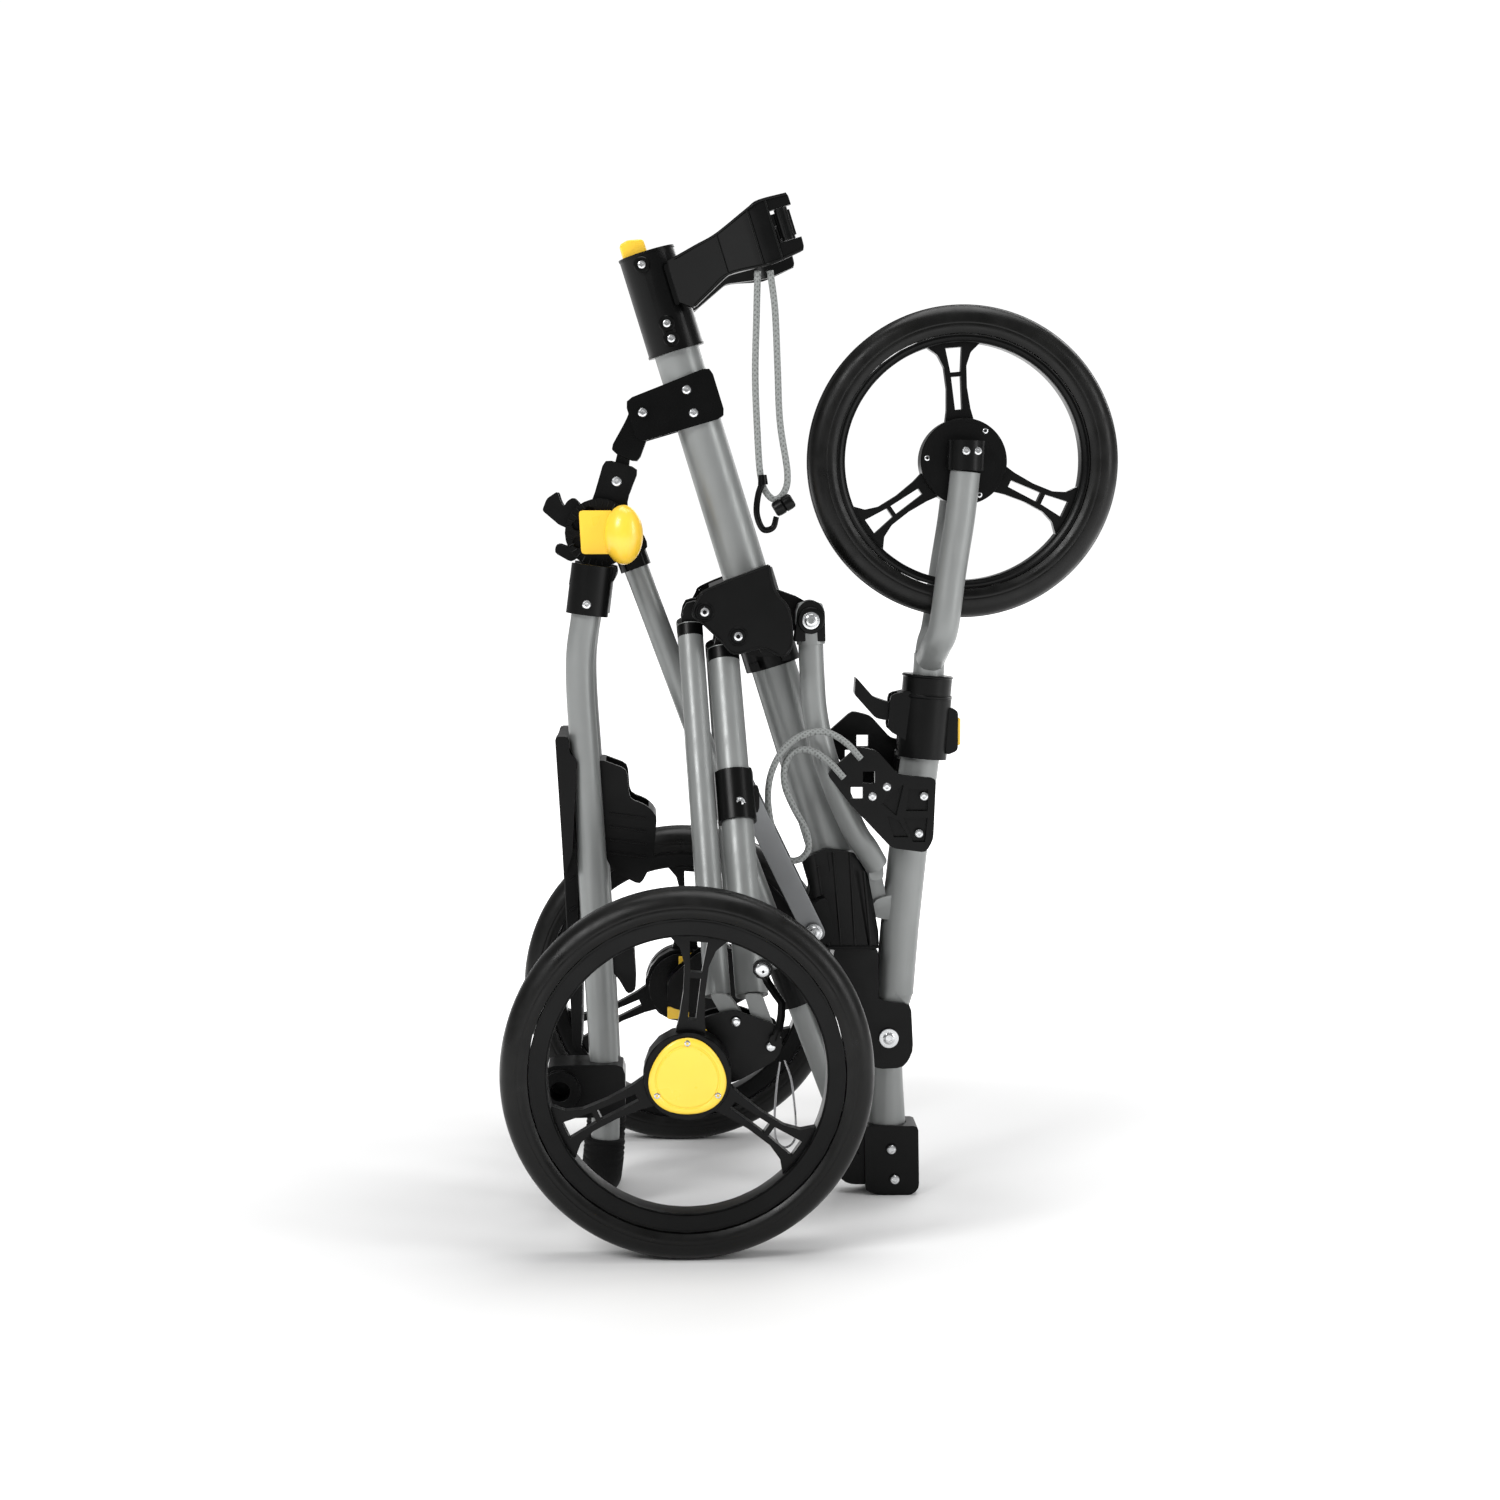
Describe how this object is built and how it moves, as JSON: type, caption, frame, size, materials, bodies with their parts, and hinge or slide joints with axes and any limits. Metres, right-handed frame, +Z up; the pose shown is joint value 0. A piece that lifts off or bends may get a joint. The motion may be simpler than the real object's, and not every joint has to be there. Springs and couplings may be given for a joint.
{
  "type": "golf push trolley",
  "caption": "Three-wheel golf push trolley in its folded, standing state, with a knee joint, sliding leg hub, swinging handle, bag brackets and tray",
  "frame": {"origin": "on the ground under the middle of the folded trolley, centred between the rear wheels", "axes": "+Z up; +X from the handle side towards the front wheel's side; Y across, along the wheel axles; near side is -Y"},
  "size_m": [0.512, 0.4768, 0.8379],
  "materials": {
    "aluminium_tube": "satin silver-grey anodised, roughness about 0.38",
    "bare_metal": "bare satin aluminium plate",
    "black_plastic": "near-black moulded plastic, roughness about 0.5",
    "satin_black": "satin black castings, roughness about 0.35",
    "rubber_grip": "soft black foam rubber",
    "tyre": "matt black foam tyre",
    "yellow_plastic": "golden yellow glossy plastic",
    "elastic_cord": "light grey braided elastic cord",
    "steel_wire": "bare steel brake cable"
  },
  "bodies": {
    "frame": {"main_tube": "aluminium_tube", "upper_bag_bracket": "black_plastic", "link_bracket": "satin_black", "cone_bracket": "black_plastic", "knee_yoke": "black_plastic", "upper_bungee": "elastic_cord", "bungee_hook": "satin_black", "bungee_toggle": "black_plastic"},
    "link": {"link_bar": "satin_black", "link_clevis": "black_plastic"},
    "stay": {"stay_tube": "aluminium_tube", "stay_top_fitting": "satin_black", "stay_collar": "black_plastic", "stay_end_fitting": "satin_black"},
    "handle": {"handle_tube_near": "aluminium_tube", "handle_tube_far": "aluminium_tube", "handle_grip": "rubber_grip", "handle_joint_near": "black_plastic", "handle_joint_far": "black_plastic", "console": "black_plastic", "umbrella_mount": "black_plastic"},
    "hub": {"hub_housing": "black_plastic"},
    "column": {"column_tube": "aluminium_tube", "foot_bracket": "black_plastic", "lower_bag_bracket_near": "black_plastic", "lower_bag_bracket_far": "black_plastic", "fork_clamp": "black_plastic", "fork": "aluminium_tube", "front_axle": "black_plastic", "lower_bungee": "elastic_cord"},
    "front_wheel": {"front_tyre": "tyre", "front_rim": "black_plastic"},
    "prop": {"prop_tube": "aluminium_tube"},
    "release_button": {"release_button": "yellow_plastic"},
    "latch_button": {"latch_button": "yellow_plastic"},
    "cam_lever": {"cam_lever": "black_plastic"},
    "clamp_lever": {"clamp_lever": "yellow_plastic"},
    "console_lid": {"console_lid": "black_plastic"},
    "brake_lever": {"brake_lever": "black_plastic"},
    "leg_near": {"leg_tube_near": "aluminium_tube", "leg_sleeve_near": "black_plastic"},
    "thin_near": {"leg_thin_tube_near": "aluminium_tube"},
    "axle_near": {"axle_bracket_near": "black_plastic", "brake_cable": "steel_wire"},
    "wheel_near": {"rear_tyre_near": "tyre", "rear_rim_near": "black_plastic", "hub_cap_near": "yellow_plastic", "wheel_release_near": "satin_black"},
    "strut_near": {"strut_near": "bare_metal"},
    "roller_near": {"strap_roller_near": "black_plastic"},
    "leg_far": {"leg_tube_far": "aluminium_tube", "leg_sleeve_far": "black_plastic"},
    "thin_far": {"leg_thin_tube_far": "aluminium_tube"},
    "axle_far": {"axle_bracket_far": "black_plastic"},
    "wheel_far": {"rear_tyre_far": "tyre", "rear_rim_far": "black_plastic", "hub_cap_far": "yellow_plastic", "wheel_release_far": "satin_black"},
    "strut_far": {"strut_far": "bare_metal"},
    "roller_far": {"strap_roller_far": "black_plastic"}
  },
  "joints": [
    {"name": "fold", "type": "hinge", "parent": "frame", "child": "column", "pos_m": [0.063, 0, 0.137], "axis": [0, 1, 0], "range_deg": [0, 98]},
    {"name": "link_fold", "type": "hinge", "parent": "frame", "child": "link", "pos_m": [-0.144, 0, 0.664], "axis": [0, 1, 0], "range_deg": [0, 98]},
    {"name": "stay_swing", "type": "hinge", "parent": "link", "child": "stay", "pos_m": [-0.171, 0, 0.559], "axis": [0, 1, 0], "range_deg": [-98, 0]},
    {"name": "hub_slide", "type": "slide", "parent": "frame", "child": "hub", "axis": [0.2949, 0, -0.9555], "range_m": [0, 0.1596]},
    {"name": "prop_swing", "type": "hinge", "parent": "column", "child": "prop", "pos_m": [0.0555, 0, 0.246], "axis": [0, 1, 0], "range_deg": [-115, 0]},
    {"name": "handle_angle", "type": "hinge", "parent": "link", "child": "handle", "pos_m": [-0.1805, 0, 0.5645], "axis": [0, 1, 0], "range_deg": [0, 40]},
    {"name": "front_wheel_spin", "type": "hinge", "parent": "column", "child": "front_wheel", "pos_m": [0.125, 0, 0.624], "axis": [0, 1, 0], "continuous": true},
    {"name": "release_button_press", "type": "slide", "parent": "frame", "child": "release_button", "axis": [0.2949, 0, -0.9555], "range_m": [0, 0.004], "stiffness_N_per_m": 500},
    {"name": "latch_button_press", "type": "slide", "parent": "column", "child": "latch_button", "axis": [-1, 0, 0], "range_m": [0, 0.003], "stiffness_N_per_m": 500},
    {"name": "cam_lever_turn", "type": "hinge", "parent": "column", "child": "cam_lever", "pos_m": [0.066, 0, 0.414], "axis": [0, 1, 0], "range_deg": [-60, 0]},
    {"name": "clamp_lever_turn", "type": "hinge", "parent": "handle", "child": "clamp_lever", "pos_m": [-0.195, -0.036, 0.563], "axis": [0, 0, 1], "range_deg": [-50, 0]},
    {"name": "console_lid_turn", "type": "hinge", "parent": "handle", "child": "console_lid", "pos_m": [-0.208, 0, 0.218], "axis": [0, 1, 0], "range_deg": [-90, 0]},
    {"name": "brake_lever_pull", "type": "hinge", "parent": "handle", "child": "brake_lever", "pos_m": [-0.18, 0, 0.215], "axis": [0, 1, 0], "range_deg": [0, 20]},
    {"name": "leg_swing_near", "type": "hinge", "parent": "hub", "child": "leg_near", "pos_m": [-0.066, 0, 0.48], "axis": [0, 1, 0], "range_deg": [0, 58.3]},
    {"name": "thin_swing_near", "type": "hinge", "parent": "hub", "child": "thin_near", "pos_m": [-0.0935, 0, 0.5], "axis": [0, 1, 0], "range_deg": [0, 58.3]},
    {"name": "axle_level_near", "type": "hinge", "parent": "leg_near", "child": "axle_near", "pos_m": [-0.0435, 0, 0.16], "axis": [0, 1, 0], "range_deg": [-58.3, 0]},
    {"name": "wheel_spin_near", "type": "hinge", "parent": "axle_near", "child": "wheel_near", "pos_m": [-0.11, 0, 0.146], "axis": [0, 1, 0], "continuous": true},
    {"name": "strut_swing_near", "type": "hinge", "parent": "frame", "child": "strut_near", "pos_m": [-0.0025, 0, 0.232], "axis": [0, 1, 0], "range_deg": [-54, 0]},
    {"name": "roller_spin_near", "type": "hinge", "parent": "frame", "child": "roller_near", "pos_m": [-0.0285, -0.082, 0.813], "axis": [-0.2949, 0, 0.9555], "continuous": true},
    {"name": "leg_swing_far", "type": "hinge", "parent": "hub", "child": "leg_far", "pos_m": [-0.066, 0, 0.48], "axis": [0, 1, 0], "range_deg": [0, 58.3]},
    {"name": "thin_swing_far", "type": "hinge", "parent": "hub", "child": "thin_far", "pos_m": [-0.0935, 0, 0.5], "axis": [0, 1, 0], "range_deg": [0, 58.3]},
    {"name": "axle_level_far", "type": "hinge", "parent": "leg_far", "child": "axle_far", "pos_m": [-0.0435, 0, 0.16], "axis": [0, 1, 0], "range_deg": [-58.3, 0]},
    {"name": "wheel_spin_far", "type": "hinge", "parent": "axle_far", "child": "wheel_far", "pos_m": [-0.11, 0, 0.146], "axis": [0, 1, 0], "continuous": true},
    {"name": "strut_swing_far", "type": "hinge", "parent": "frame", "child": "strut_far", "pos_m": [-0.0025, 0, 0.232], "axis": [0, 1, 0], "range_deg": [-54, 0]},
    {"name": "roller_spin_far", "type": "hinge", "parent": "frame", "child": "roller_far", "pos_m": [-0.0285, 0.082, 0.813], "axis": [-0.2949, 0, 0.9555], "continuous": true}
  ],
  "couplings": [
    {"joint": "link_fold", "follows": "fold", "ratio": 1},
    {"joint": "stay_swing", "follows": "fold", "ratio": -1},
    {"joint": "hub_slide", "follows": "fold", "m_per_rad": 0.09325},
    {"joint": "prop_swing", "follows": "fold", "ratio": -1.1725},
    {"joint": "leg_swing_near", "follows": "fold", "ratio": 0.594},
    {"joint": "thin_swing_near", "follows": "fold", "ratio": 0.594},
    {"joint": "axle_level_near", "follows": "fold", "ratio": -0.594},
    {"joint": "strut_swing_near", "follows": "fold", "ratio": -0.55},
    {"joint": "leg_swing_far", "follows": "fold", "ratio": 0.594},
    {"joint": "thin_swing_far", "follows": "fold", "ratio": 0.594},
    {"joint": "axle_level_far", "follows": "fold", "ratio": -0.594},
    {"joint": "strut_swing_far", "follows": "fold", "ratio": -0.55}
  ]
}
